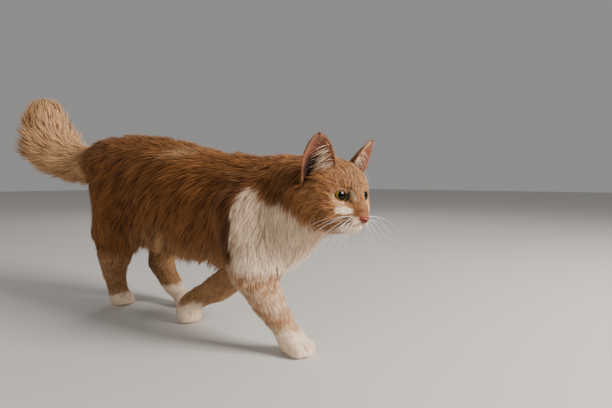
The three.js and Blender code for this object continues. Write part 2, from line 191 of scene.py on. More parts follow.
def coat_of(points, normals):
    """The coat's length and how steeply it stands, in degrees, over the whole cat."""
    part = regions(points)
    local = in_head(points)
    share = part["head"][0]
    back = step(12, -34, local[:, 0])
    cheek = step(14, 30, np.abs(local[:, 1])) * step(4, -14, local[:, 2]) * step(4, -26, local[:, 0])
    ruff = cheek * step(-18, -40, local[:, 0])
    length = share * (3.0 + 5.5 * back + 5 * cheek + 6.5 * ruff)
    lift = share * (13 + 3 * back + 7 * cheek)
    under = step(0.1, -0.7, normals[:, 2])
    share = part["neck"][0]
    length += share * (20 + 4 * under)
    lift += share * (17 + 4 * under)
    share = part["trunk"][0]
    top = step(0.4, 0.95, normals[:, 2])
    front = step(232, 262, points[:, 0])
    rump = step(-20, -60, points[:, 0]) * step(242, 215, points[:, 2])
    length += share * (29 - 8 * top + 7 * under * (1 - front) - 11 * front - 9 * rump)
    lift += share * (15 + 8 * under * (1 - front) - 5 * rump)
    share, along, _ = part["tail"]
    length += share * (15 + 11 * step(0.08, 0.22, along) + 9 * step(0.1, 0.6, along))
    lift += share * (8 + 10 * step(0.08, 0.22, along) + 6 * step(0.1, 0.5, along))
    for name in LEGS:
        share, along, _ = part[name]
        thigh = step(0.62 if "hind" in name else 0.42, 0.1, along)
        rear = step(0.2, -0.9, normals[:, 0]) * thigh
        fore = "fore" in name
        length += share * (6.5 + (9 if fore else 15) * thigh - 2 * rear)
        lift += share * (15 + (1 if fore else -5) * thigh - 3 * rear)
    paw = step(38, 22, points[:, 2])
    length += paw * (3.4 - length)
    return length, lift


def fused_flesh():
    """All the solids but the ears, as one closed surface."""
    corners, faces, start = [], [], 0
    for name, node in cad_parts.items():
        if name.startswith("ear"):
            continue
        points, tris = points_of(node.data), triangles_of(node.data)
        _, first, back = np.unique(np.round(points, 6), axis=0, return_index=True, return_inverse=True)
        points, tris = points[first], back.ravel()[tris]
        corners.append(points + normals_of(points, tris) * 0.0004)
        faces.append(tris + start)
        start += len(points)
    raw = shown("flesh", mesh_of("flesh", np.concatenate(corners), np.concatenate(faces)))
    remesh = raw.modifiers.new("fuse", "REMESH")
    remesh.mode = "VOXEL"
    remesh.voxel_size = VOXEL
    mesh = bpy.data.meshes.new_from_object(raw.evaluated_get(bpy.context.evaluated_depsgraph_get()))
    bpy.data.objects.remove(raw)
    return mesh


mesh = fused_flesh()
work = bmesh.new()
work.from_mesh(mesh)
work.faces.ensure_lookup_table()
middle = in_head(millimetres(np.array([f.calc_center_median() for f in work.faces])))
fine = (middle[:, 0] > -16) & (middle[:, 2] > -46) & (middle[:, 2] < 26)
for x, y in TOES.values():
    spot = millimetres(np.array([f.calc_center_median() for f in work.faces])) - [x, y, 8]
    fine |= (np.abs(spot) < [16, 19, 14]).all(axis=1)
edges = {e for i in np.nonzero(fine)[0] for e in work.faces[i].edges}
bmesh.ops.subdivide_edges(work, edges=list(edges), cuts=1, use_grid_fill=True)
bmesh.ops.triangulate(work, faces=work.faces)
work.to_mesh(mesh)
work.free()
skin, skin_faces = millimetres(points_of(mesh)), triangles_of(mesh)
bpy.data.meshes.remove(mesh)
on_face = step(-14, -6, in_head(skin)[:, 0]) * step(300, 330, skin[:, 0])
keep = 1 - 0.6 * on_face - 0.5 * step(24, 16, skin[:, 2]) * (1 - on_face)
skin = relaxed(skin, skin_faces, 12, keep=keep)
bare = normals_of(skin, skin_faces)
length, lift = coat_of(skin, bare)
depth = SUNK * length * np.sin(np.radians(lift)) + 0.25
depth += HAUNCH_SUNK * step(-20, -60, skin[:, 0]) * step(236, 208, skin[:, 2]) * step(112, 150, skin[:, 2])
skin -= bare * np.minimum(depth, 0.12 * skin[:, 2] + 0.3)[:, None]
skin = relaxed(skin, skin_faces, 6, keep=1 - 0.7 * on_face)

# ---- Ears ------------------------------------------------------------------------------------
# Thin curled shells of gristle and skin, open to the front and side, with their roots inside
# the skull. They are joined to the hide as one surface.
EAR_BASE = {-1: np.array([-22.0, 32, 26]), 1: np.array([-23.5, 30, 26])}
EAR_TIP = {-1: np.array([-10.0, 44.5, 64]), 1: np.array([-12.0, 42.5, 64])}
EAR_OPENING = {-1: np.array([0.86, 0.5, -0.05]), 1: np.array([0.93, 0.37, -0.05])}   # outward to each side
EAR_WIDTH = 18.5                         # half of it, at the root
EAR_THICKNESS = 2.2
EAR_ROOT = 0.35                          # length inside the skull, as a share of what shows


def from_head(points):
    return np.asarray(points, float) @ HEAD_TURN.T + HEAD_AT


def ear_frame(side):
    """An ear's root, its axis, the way it opens, the way across it, and its length, all as for a left ear."""
    base, tip = EAR_BASE[side], EAR_TIP[side]
    length = np.linalg.norm(tip - base)
    axis = (tip - base) / length
    opening = EAR_OPENING[side]
    opening = unit(opening - axis * (opening @ axis))
    return base, axis, opening, np.cross(opening, axis), length


def ear_half(v):
    """Half of an ear's width at a share of its height."""
    return EAR_WIDTH * (1 - np.clip(v, 0, 1) ** 2.3) ** 0.8 + 0.6


def ear_place(local, side):
    """Where points are on an ear: from -1 at its outer to 1 at its inner edge, and from 0 at its root to 1
    at its tip."""
    base, axis, _, breadth, length = ear_frame(side)
    away = local * [1, side, 1] - base
    v = away @ axis / length
    return away @ breadth / ear_half(v), v


def ear_point(side, u, v, inset):
    """Places on an ear's curled shell, set in from its outer face, and the way to its inside there."""
    base, axis, opening, breadth, length = ear_frame(side)
    curl = np.radians(70 - 32 * v)
    radius = ear_half(v) / np.sin(curl)
    angle, depth = curl * u, radius - inset
    point = (base + axis * length * v[..., None] + breadth * (depth * np.sin(angle))[..., None]
             + opening * (radius * np.cos(curl) - depth * np.cos(angle))[..., None])
    return point, opening * np.cos(angle)[..., None] - breadth * np.sin(angle)[..., None]


def ear_parts(side, rows=30, columns=34):
    """An ear's curled shell, with its root inside the skull, in the head's frame."""
    v = np.linspace(-EAR_ROOT, 1, rows)[:, None]
    u = np.linspace(-1, 1, columns)[None, :]
    layers = []
    for inner in (0, 1):
        rim = np.sqrt(np.maximum(1 - u ** 4, 0)) * (1 - 0.45 * v)
        ridge = 0.5 * np.cos(u * 9) * step(0.75, 0.1, v) * (1 - u ** 2) * inner
        inset = inner * (EAR_THICKNESS * (0.3 + 0.7 * rim)) + ridge
        layers.append(ear_point(side, u, v, inset)[0].reshape(-1, 3) * [1, side, 1])
    points = np.concatenate(layers)
    cell = (np.arange(rows - 1)[:, None] * columns + np.arange(columns - 1)).ravel()
    sheet = rows * columns
    outer = np.stack([cell, cell + columns, cell + columns + 1, cell + 1], axis=1)
    inner = outer[:, ::-1] + sheet
    rail = np.arange(rows - 1) * columns
    left = np.stack([rail, rail + sheet, rail + sheet + columns, rail + columns], axis=1)
    right = left[:, ::-1] + columns - 1
    edge = np.arange(columns - 1)
    foot = np.stack([edge, edge + 1, edge + 1 + sheet, edge + sheet], axis=1)
    head = foot[:, ::-1] + (rows - 1) * columns
    faces = np.concatenate([outer, inner, left, right, foot, head])
    return points, faces if side < 0 else faces[:, ::-1]


body = shown("body", mesh_of("body", metres(skin), skin_faces))
for side in (-1, 1):
    points, faces = ear_parts(side)
    ear = shown("ear", mesh_of("ear", metres(from_head(points)), faces))
    join = body.modifiers.new("ear", "BOOLEAN")
    join.operation, join.solver, join.object = "UNION", "MANIFOLD", ear
    joined = bpy.data.meshes.new_from_object(body.evaluated_get(bpy.context.evaluated_depsgraph_get()))
    body.modifiers.remove(join)
    body.data = joined
    bpy.data.objects.remove(ear)
skin, skin_faces = millimetres(points_of(body.data)), triangles_of(body.data)
bpy.data.objects.remove(body)

# ---- Feet and face ---------------------------------------------------------------------------
# Four toes on each foot with clefts between them, lids drawn round the eyes, whisker pads,
# a split upper lip and a chin. All are worked into the one hide.
EYE_AT = np.array([-9.5, 16.6, -0.9])
EYE_RADIUS = 10.8
EYE_OPENING = (math.radians(43), math.radians(31))   # half its width and height, seen from the eye's centre
EYE_AIM = (math.radians(11), math.radians(-4))       # outward of the head's own line, and up
EYE_SLANT = math.radians(11)
NOSE_AT, NOSE_HALF = np.array([15.6, 0, -25.4]), np.array([6.2, 7.4, 4.9])

# place, radius and height of the whisker pad, chin and brow, and of the hollows before the eye
SWELLS = [((8, 10.5, -27.5), 6.5, 1.2), ((3, 4, -38), 5.5, 0.6), ((-2, 17, 12), 6, 0.9),
          ((8.5, 9, -9), 4.5, -1.2), ((6, 8.5, 1), 4, -1.0)]


def eye_frame(side):
    """The middle of an eye and its forward, sideways and upward directions, in the head's frame."""
    out, up = EYE_AIM
    forward = np.array([math.cos(out) * math.cos(up), side * math.sin(out) * math.cos(up), math.sin(up)])
    inward = unit(np.cross(forward, [0, 0, 1]) * side)
    lift = np.cross(forward, inward) * side * -1
    inward, lift = (inward * math.cos(EYE_SLANT) - lift * math.sin(EYE_SLANT),
                    lift * math.cos(EYE_SLANT) + inward * math.sin(EYE_SLANT))
    return EYE_AT * [1, side, 1], forward, inward, lift


def eye_reach(local, side):
    """How far out points are from the middle of an eye's opening, 1 at its rim, how far from the ball's
    middle, and how far inward and up as shares of the opening."""
    centre, forward, inward, lift = eye_frame(side)
    away = local - centre
    distance = np.linalg.norm(away, axis=1)
    level = np.arctan2(away @ inward, away @ forward) / EYE_OPENING[0]
    height = np.arcsin(np.clip(away @ lift / np.maximum(distance, 1e-6), -1, 1)) / EYE_OPENING[1]
    height = np.where(height > 0, height / 0.88, height)
    level = np.where(level > 0, level / 1.2, level)
    almond = (np.abs(level) ** 1.75 + np.abs(height) ** 1.75) ** (1 / 1.75)
    almond = np.where(away @ forward > 0, almond, 9)
    return almond, distance, level, height


def lid_reach(almond, level):
    """How far out points are from the lids' opening, which is drawn out to a dark inner corner."""
    return almond / (1 + 0.18 * step(0.35, 0.8, level))


def nose_reach(local):
    """How far out a point is from the middle of the nose leather, 1 at its surface."""
    return np.linalg.norm((local - NOSE_AT) / NOSE_HALF, axis=1)


def lip_line(side):
    """One side of the mouth, from below the nose to its corner."""
    return [(13, 0, -31, 0), (11.3, 5 * side, -32.2, 0), (7.5, 10 * side, -32.2, 0),
            (3, 14.4 * side, -31.2, 0), (-4, 18 * side, -29.4, 0)]


def clefts():
    """Lines between the toes of every foot, from the front of the sole up and back."""
    for x, y in TOES.values():
        for cleft in (-8, 0, 8):
            x0 = x - abs(cleft) * 0.3
            yield [(x0 + 13, y + cleft * 1.02, 1, 0), (x0 + 11, y + cleft, 9, 0),
                   (x0 + 4, y + cleft * 0.95, 15, 0), (x0 - 6, y + cleft * 0.8, 19, 0)]


# clefts between the toes
bare = normals_of(skin, skin_faces)
for line in clefts():
    near, along = stroke(skin, line, 1.9)
    skin -= bare * (4.2 * near * (1 - 0.6 * along))[:, None]

# lids, lips, pads and chin
local = in_head(skin)
bare = normals_of(skin, skin_faces) @ HEAD_TURN
for side in (-1, 1):
    for (x, y, z), radius, height in SWELLS:
        near = np.exp(-np.sum((local - [x, y * side, z]) ** 2, axis=1) / radius ** 2)
        local += bare * (near * height)[:, None]
    near, along = stroke(local, lip_line(side), 1.5)
    local -= bare * (2.3 * near * (1 - 0.6 * along))[:, None]
near, _ = stroke(local, [(17.5, 0, -28.5, 0), (12.5, 0, -32.5, 0)], 1.1)
local -= bare * (1.5 * near)[:, None]
under_nose = nose_reach(local)
sunk = 0.28 * step(1.35, 1.0, under_nose) * step(-21.5, -23.5, local[:, 2]) * (local[:, 0] > 6)
local = NOSE_AT + (local - NOSE_AT) * (1 - sunk / np.maximum(under_nose, 0.3))[:, None]
for side in (-1, 1):
    centre = EYE_AT * [1, side, 1]
    almond, distance, _, _ = eye_reach(local, side)
    near = step(22, 15, distance) * step(2.2, 1.6, almond)
    outside = np.maximum(distance, EYE_RADIUS + 0.9 + 1.3 * step(1.0, 1.35, almond))
    lidded = outside + (EYE_RADIUS - 1.6 - outside) * step(1.06, 0.94, almond)
    target = distance + near * (lidded - distance)
    local = centre + (local - centre) * (target / np.maximum(distance, 1e-6))[:, None]
skin = from_head(local)
skin_normals = normals_of(skin, skin_faces)

# ---- Markings --------------------------------------------------------------------------------
# Ginger over white: a white bib, chin, feet and patch below each eye, darker flanks and lines on the face.
# The flanks are darker partly in their own colour and partly as painted shade, which also lies behind the
# shoulder, on the neck, between the toes and down the side of the nose, with painted highlights on the flank,
# the back and the bridge of the nose. The bare lids, lips and ears keep the colour of their skin, with
# painted shade deep inside the ears.
SOCKS = {"foreleg_right": 28, "foreleg_left": 27, "hindleg_right": 20, "hindleg_left": 31}   # height of white


def dot(a, b):
    return np.sum(a * b, axis=-1)


def mark(mesh, name, values):
    """Keeps a number or a vector at each corner point for the paint to read."""
    values = np.asarray(values, np.float32)
    kind, field = ("FLOAT", "value") if values.ndim == 1 else ("FLOAT_VECTOR", "vector")
    mesh.attributes.new(name, kind, "POINT").data.foreach_set(field, values.ravel())


def ear_shares(local):
    """How much of an ear each point is, and how far it faces into the ear's opening, from -1 to 1."""
    best = np.full(len(local), 1e9)
    lowest = np.zeros(len(local))
    towards = np.zeros((len(local), 3))
    course = np.zeros((len(local), 3))
    for side in (-1, 1):
        flip = np.array([1, side, 1])
        root = EAR_BASE[side] - 14 * ear_frame(side)[1]
        chain = [(*root * flip, 19), (*EAR_BASE[side] * flip, 19), (*EAR_TIP[side] * flip, 8)]
        gap, _, _ = reach(local, chain)
        near = gap < best
        lowest[near] = 31 - 17 * step(0.3, -0.5, ear_place(local[near], side)[0])
        best = np.where(near, gap, best)
        towards[near] = EAR_OPENING[side] * flip
        course[near] = unit(EAR_TIP[side] - EAR_BASE[side]) * flip
    return step(4, -1, best) * step(0, 5, local[:, 2] + 4 * (best < 0) - lowest), towards, course


def speckle(points, size, seed=0):
    """Smooth uneven numbers from -1 to 1 over space, for edges that wander."""
    total = np.zeros(len(points))
    for i in range(5):
        way = np.random.default_rng(seed * 31 + i).normal(size=(2, 3))
        total += np.sin(points @ unit(way[0]) / size * (0.8 + 0.35 * i) * 3 + way[1, 0] * 9)
    return np.clip(total / 2.6, -1, 1)


def whisker_roots(side):
    """Four rows on each pad, run from the nose back."""
    for row in range(4):
        for place in range(4 - (row == 3)):
            yield np.array([12.5 - 2.5 * place - 0.9 * row, side * (10.0 + 2.2 * place), -22.6 - 2.5 * row])


def markings(points, normals):
    """White, pale, dark and rusty areas of the coat, among them painted shade and highlights, and a deeper
    colour on the body that is partly painted shade.
    """
    local = in_head(points)
    part = regions(points)
    x, y, z = points.T
    wander = 3.5 * speckle(points, 14) + 1.5 * speckle(points, 5, 1)
    right = step(12, -12, y)
    rear_edge = 250 + 0.32 * np.maximum(z - 164, 0) + (1 - right) * 26
    front_edge = 195 - 0.84 * (x - 261) + 24 * step(270, 320, x)
    bib = step(-3, 3, x - rear_edge + wander * 0.6) * step(-4, 4, front_edge - z + wander * 0.6)
    bib *= step(88, 104, z) * (1 - part["head"][0])
    white = bib * (1 - 0.45 * step(98, 135, z))
    chin = np.linalg.norm((local - [7, 0, -35]) / [20, 18, 12], axis=1)
    white = np.maximum(white, step(1.1, 0.85, chin + 0.03 * wander) * part["head"][0])
    for side in (-1, 1):
        below_eye = [(0.5, 24.5 * side, -15.5, 2.6), (4.5, 18.5 * side, -16, 4.4),
                     (8.5, 14 * side, -17.4, 2.6)]
        gap, _, _ = reach(local, below_eye)
        white = np.maximum(white, step(1.6, -1, gap + 0.3 * wander) * part["head"][0])
        pad = [(9, 13 * side, -23.5, 3), (12, 8 * side, -28, 5.5)]
        gap, _, _ = reach(local, pad)
        white = np.maximum(white, step(2.5, -2, gap + 0.3 * wander) * part["head"][0] * 0.62)
    under = step(-41, -47, local[:, 2] + 0.5 * wander)
    under += step(-38, -46, local[:, 0]) * step(-22, -28, local[:, 2])
    white = np.maximum(white, under * part["head"][0] * 0.9)
    below = step(166, 152, z + 0.5 * wander + 0.2 * (x - 300)) * part["neck"][0] * step(285, 300, x)
    white = np.maximum(white, below * 0.8)
    pale = 0.35 * step(-0.2, -0.9, normals[:, 2]) * part["trunk"][0]
    pale = np.maximum(pale, 0.85 * part["tail"][0] * step(0.02, 0.2, part["tail"][1]))
    pale = np.maximum(pale, 0.9 * bib)
    dark = np.zeros(len(points))
    rust = np.zeros(len(points))

    # legs: white feet, a mottled right foreleg with an orange bar at the elbow
    for name, sock in SOCKS.items():
        share = part[name][0]
        white = np.maximum(white, share * step(4, -3, z - sock + wander))
        pale = np.maximum(pale, share * 0.6 * step(105, 70, z))
    share = part["foreleg_right"][0] * step(112, 100, z)
    patch = step(-0.5, 0.9, speckle(points, 9, 3) + 0.7 * np.exp(-((z - 94) / 7) ** 2))
    white = np.maximum(white, share * (0.40 - 0.32 * patch))
    rust = np.maximum(rust, share * patch * step(30, 42, z) * 0.6)
    pale = np.maximum(pale, share * 0.8)

    # painted shade in the clefts between the toes
    for line in clefts():
        near, along = stroke(points, line, 1.5)
        shade = near * (1 - 0.7 * along) * step(30, 24, z)
        white = white * (1 - 0.85 * shade)
        dark = np.maximum(dark, 0.75 * shade)

    # painted shade in a band behind the shoulder, a dark band down the haunch, and painted shade on the neck
    # below the cheek
    side_on = step(15, 40, np.abs(y))
    # painted shade behind the shoulder
    shoulder_shadow_band = np.exp(-((x - 236 - 0.1 * (z - 108) + wander) / 9) ** 2) * step(96, 120, z) * (1 - white) * right
    dark = np.maximum(dark, 0.8 * shoulder_shadow_band * side_on)
    haunch = np.exp(-((x - 25 + 0.37 * (z - 154) + wander) / 7) ** 2) * step(120, 160, z) * step(250, 225, z)
    dark = np.maximum(dark, 0.6 * haunch * side_on)
    # painted shade where the cheek's ruff shadows the neck
    neck = np.exp(-(((x - 300) / 18) ** 2 + ((z - 198) / 22) ** 2)) * side_on
    dark = np.maximum(dark, 0.55 * neck * (1 - white))
    # painted highlights on a fold of the lower flank and along the top of the back
    pale = np.maximum(pale, 0.6 * np.exp(-(((x - 87) / 14) ** 2 + ((z - 129) / 12) ** 2)))
    pale = np.maximum(pale, 0.5 * np.exp(-(((x - 112) / 30) ** 2 + ((z - 236) / 6) ** 2)))

    # the face: lines on the brow and cheek, light round the eye, a light bridge to the nose that is partly
    # painted highlight, and painted shade down the side of the nose
    head = part["head"][0]
    lx, ly, lz = local.T
    fan = ly / (9 + 0.22 * np.maximum(lz, 0))
    lines = step(0.25, 0.9, np.cos(fan * 7.5 + 0.35 * np.sin(lz * 0.25)))
    streak = np.cos(fan * 21 + 1.2 * np.sin(lz * 0.45 + ly * 0.2) + 0.8 * speckle(points, 4, 5))
    brow = step(2, 9, lz) * step(27, 17, np.abs(ly)) * step(-40, -22, lx)
    dark = np.maximum(dark, head * brow * (0.35 * lines + 0.5 * step(0.1, 0.9, streak)))
    pale = np.maximum(pale, head * brow * 0.5 * step(-0.1, -0.9, streak))
    ruff = step(-14, -28, lx) * step(12, 22, np.abs(ly)) * step(12, 0, lz)
    pale = np.maximum(pale, head * ruff * 0.75 * step(0.15, 1.0, speckle(points, 7, 11)))
    cheek = step(4, -8, lx) * step(16, 26, np.abs(ly)) * step(22, 8, lz)
    dark = np.maximum(dark, head * cheek * 0.45 * step(0.1, 1.0, speckle(points, 6, 13)))
    for side in (-1, 1):
        upper = [(0, 31 * side, -1, 0), (-16, 38 * side, -6, 0), (-32, 40 * side, -16, 0)]
        lower = [(2, 28 * side, -14, 0), (-14, 36 * side, -22, 0), (-26, 37 * side, -30, 0)]
        for line, depth in ((upper, 0.55), (lower, 0.4)):
            dark = np.maximum(dark, head * depth * stroke(local, line, 2.6)[0])
        # a dark tear streak from the eye's inner corner, running on down the side of the nose as painted
        # shade
        tear_and_nose_shade = [(5.5, 9.5 * side, -7, 0), (9.5, 8.5 * side, -13, 0), (12.5, 8 * side, -19, 0)]
        near, along = stroke(local, tear_and_nose_shade, 1.7)
        dark = np.maximum(dark, head * (0.75 - 0.4 * along) * near)
        # a pale line beside the bridge of the nose, partly its own pale fur and partly painted highlight
        bridge = [(1.5, 7.5 * side, 9, 0), (5.5, 6.8 * side, 2, 0), (9, 6.2 * side, -5, 0)]
        near, along = stroke(local, bridge, 1.9)
        pale = np.maximum(pale, head * (0.6 + 0.3 * along) * near)
        white = np.maximum(white, 0.5 * head * near)
        almond, distance, level, height = eye_reach(local, side)
        ring = np.exp(-((almond - 1.3) / 0.2) ** 2) * (distance < 22)
        pale = np.maximum(pale, ring * (0.25 + 0.7 * step(0.4, -0.4, height)))
        liner = np.exp(-((lid_reach(almond, level) - 1.18) / 0.2) ** 2) * (distance < 18)
        dark = np.maximum(dark, 0.85 * liner * np.maximum(step(-0.3, 0.2, height), step(0.3, 0.7, level)))
        rows = np.array(list(whisker_roots(side)))
        for row in range(4):
            first, last = rows[4 * row], rows[min(4 * row + 3, len(rows) - 1)]
            line = [(first[0], 0, first[2], 0), (last[0], 0, last[2], 0)]
            spot = head * stroke(local * [1, 0, 1], line, 0.75)[0] * (ly * side > 6)
            dark = np.maximum(dark, 0.8 * spot)
            white = white * (1 - 0.85 * spot)
    # the body and legs in a deeper ginger, partly their own colour and partly painted shade, with the tops
    # kept lighter as painted light from above
    deep_and_shade = part["trunk"][0] + 0.45 * part["neck"][0] + 0.45 * part["tail"][0]
    deep_and_shade += sum(part[name][0] for name in LEGS) * 0.8
    deep_and_shade *= 1 - 0.2 * step(0.5, 1, normals[:, 2])
    marks = {"white": white, "pale": pale, "dark": dark, "rust": rust, "deep_and_shade": deep_and_shade}
    return {name: np.clip(values, 0, 1) for name, values in marks.items()}


class Wire:
    """A socket of a material's nodes that works like a number, or like a colour if it is wide."""

    def __init__(self, tree, socket=None, wide=False):
        self.tree, self.socket, self.wide = tree, socket, wide

    def node(self, kind, settings, links, out=0, wide=False):
        node = self.tree.nodes.new(kind)
        for name, value in settings.items():
            setattr(node, name, value)
        for name, value in links.items():
            if isinstance(value, Wire):
                self.tree.links.new(value.socket, node.inputs[name])
            else:
                node.inputs[name].default_value = value
        return Wire(self.tree, node.outputs[out], wide)

    def math(self, operation, first, second):
        if any(isinstance(v, tuple) or getattr(v, "wide", False) for v in (first, second)):
            first, second = ((v, v, v) if isinstance(v, (int, float)) else v for v in (first, second))
            settings = {"operation": operation}
            return self.node("ShaderNodeVectorMath", settings, {0: first, 1: second}, wide=True)
        return self.node("ShaderNodeMath", {"operation": operation}, {0: first, 1: second})

    def __add__(self, other):
        return self.math("ADD", self, other)

    def __mul__(self, other):
        return self.math("MULTIPLY", self, other)

    def __sub__(self, other):
        return self.math("SUBTRACT", self, other)

    def __rsub__(self, other):
        return self.math("SUBTRACT", other, self)

    __radd__, __rmul__ = __add__, __mul__

    def ramp(self, low, high):
        """0 up to low, 1 from high, and a smooth rise between."""
        settings = {"interpolation_type": "SMOOTHSTEP"}
        return self.node("ShaderNodeMapRange", settings, {"Value": self, "From Min": low, "From Max": high})

    def mix(self, low, high):
        """A colour that goes from low to high as this number goes from 0 to 1."""
        low, high = (c if isinstance(c, Wire) else (*c, 1) for c in (low, high))
        return self.node("ShaderNodeMix", {"data_type": "RGBA"}, {0: self, 6: low, 7: high}, 2, True)

    def read(self, name):
        return self.node("ShaderNodeAttribute", {"attribute_name": name}, {}, "Fac")

    def place(self, name):
        return self.node("ShaderNodeAttribute", {"attribute_name": name}, {}, "Vector")

    def noise(self, vector, scale, detail=2.0):
        links = {"Vector": vector, "Scale": scale, "Detail": detail}
        return self.node("ShaderNodeTexNoise", {}, links, "Fac")

    def grain(self, scale):
        """Noise over the piece's own box."""
        return self.node("ShaderNodeTexNoise", {}, {"Scale": scale}, "Fac")


def srgb(*values):
    v = np.array(values) / 255
    return tuple(np.where(v < 0.04045, v / 12.92, ((v + 0.055) / 1.055) ** 2.4))


def paint(name, colour, height=None, strength=0.3, depth=0.0005, **constants):
    """A material whose colour is a function of a wire, with a bump and constants on its own sockets."""
    material = bpy.data.materials.new(name)
    material.use_nodes = True
    tree = material.node_tree
    shader = next(n for n in tree.nodes if n.type == "BSDF_PRINCIPLED")
    for socket, value in constants.items():
        shader.inputs[socket.replace("_", " ")].default_value = value
    start = Wire(tree)
    tree.links.new(colour(start).socket, shader.inputs["Base Color"])
    if height:
        links = {"Height": height(start), "Strength": strength, "Distance": depth}
        tree.links.new(start.node("ShaderNodeBump", {}, links).socket, shader.inputs["Normal"])
    return material


def coat_colour(w):
    """Ginger from dark roots to light tips, deepened on the body partly as painted shade, over which white,
    pale, dark and rusty areas are laid, some of them painted shade and highlights.
    """
    root, along = w.place("root"), w.read("along")
    tone = w.read("tone") * 0.9 + w.read("lock") * 0.5 + (w.noise(root, 38.0) - 0.5) * 1.3
    level = (along * 0.5 + tone * 0.3 + 0.2).ramp(0.0, 1.0)
    ginger = level.mix(srgb(92, 50, 24), srgb(196, 138, 86))
    # the deeper ginger of the body, partly its own colour and partly painted shade
    ginger = w.read("deep_and_shade").mix(ginger, ginger * (0.56, 0.47, 0.30))
    ginger = (w.read("dark") * (1 - along * 0.3)).mix(ginger, srgb(50, 25, 11))
    pale = level.mix(srgb(164, 116, 74), srgb(224, 182, 134))
    white = (along * 0.5 + tone * 0.16 + 0.34).ramp(0.0, 1.0).mix(srgb(218, 181, 140), srgb(255, 240, 218))
    rust = level.mix(srgb(146, 84, 44), srgb(204, 138, 90))
    colour = w.read("pale").mix(ginger, pale)
    colour = w.read("rust").mix(colour, rust)
    return w.read("white").mix(colour, white)


def skin_colour(w):
    colour = coat_colour(w)
    ear = w.noise(w.place("root"), 240.0).mix(srgb(106, 61, 46), srgb(142, 90, 70))
    # painted shade deep inside the ear
    ear = w.read("pocket_shade").mix(ear, srgb(44, 22, 18))
    colour = w.read("bare").mix(colour, ear)
    colour = w.read("lip").mix(colour, srgb(138, 78, 66))
    colour = w.read("lid").mix(colour, srgb(206, 158, 138))
    return w.read("rim").mix(colour, srgb(40, 24, 17))


hide = paint("hide", skin_colour, lambda w: w.noise(w.place("root"), 900.0, 3.0), 0.4, 0.0006,
             Roughness=0.65, Specular_IOR_Level=0.3)

skin_mesh = mesh_of("skin", metres(skin), skin_faces)
local = in_head(skin)
on_ear, towards, _ = ear_shares(local)
inner_ear = on_ear * step(0.0, 0.35, dot(skin_normals @ HEAD_TURN, unit(towards)))
rim, lid, pocket_shade, lip = (np.zeros(len(skin)) for _ in range(4))
for side in (-1, 1):
    almond, distance, level, height = eye_reach(local, side)
    margin = step(1.12, 1.05, lid_reach(almond, level)) * (distance < 16)
    lower = step(0.15, -0.25, height) * step(0.75, 0.35, level) * step(-0.95, -0.6, level)
    edge = 0.5 * step(1.03, 0.97, almond)
    rim = np.maximum(rim, margin * (1 - lower * (1 - edge)))
    lid = np.maximum(lid, margin * lower)
    u, v = ear_place(local, side)
    this_side = local[:, 1] * side > 0
    inner_ear = np.where(this_side, inner_ear * step(0.97, 0.88, np.abs(u)), inner_ear)
    # painted shade where the ear's opening runs deep, towards its root and the back of the shell
    deep_and_shade = np.exp(-(((u + 0.45) / 0.4) ** 2 + ((v - 0.16) / 0.2) ** 2)) + 0.8 * step(0.2, 0, v)
    deep_and_shade += 0.35 * step(0.8, 0.2, v) * step(0.8, 0.3, np.abs(u + 0.1))
    pocket_shade = np.maximum(pocket_shade, np.minimum(deep_and_shade, 1) * this_side)
    gap, along, _ = reach(local, lip_line(side)[:4])
    lip = np.maximum(lip, np.exp(-(gap / (2.8 - along)) ** 2))
for name, values in markings(skin, skin_normals).items():
    mark(skin_mesh, name, values)
mark(skin_mesh, "root", metres(skin))
mark(skin_mesh, "along", np.full(len(skin), 0.35))
for name in ("tone", "lock"):
    mark(skin_mesh, name, np.zeros(len(skin)))
pocket_shade *= inner_ear
for name, values in [("bare", inner_ear), ("rim", rim), ("lid", lid), ("pocket_shade", pocket_shade), ("lip", lip)]:
    mark(skin_mesh, name, values)
skin_mesh.materials.append(hide)
skin_piece = shown("skin", skin_mesh)
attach(skin_piece, "root")
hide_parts(*[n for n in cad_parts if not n.startswith(("eye", "nose"))])

# ---- Coat ------------------------------------------------------------------------------------
# Half-long fur in tufts of fine hair, rooted in the hide and laid one over the next towards
# the tail. It is shortest on the face and feet and longest on the flanks, belly and tail.
FINEST, WIDENING = 0.15, 0.0112          # half a tuft's width, and how it grows with its length
CLEARANCE = 0.4                          # between any tuft and the floor
PATCH = 0.003                            # a tuft's size on the unwrap
FRONT = 82                               # where the flanks' pieces are parted

rng = np.random.default_rng(7)
fur = paint("fur", coat_colour, Roughness=0.65, Specular_IOR_Level=0.26, Sheen_Weight=0.06,
            Sheen_Roughness=0.5)
tree = BVHTree.FromPolygons(skin.tolist(), skin_faces.tolist())


def on_skin(points):
    """The nearest places on the hide, and the way out of it there."""
    found = [tree.find_nearest(p) for p in points.tolist()]
    face = skin_faces[np.array([f[2] for f in found])]
    return np.array([f[0][:] for f in found]), unit(skin_normals[face].mean(axis=1))


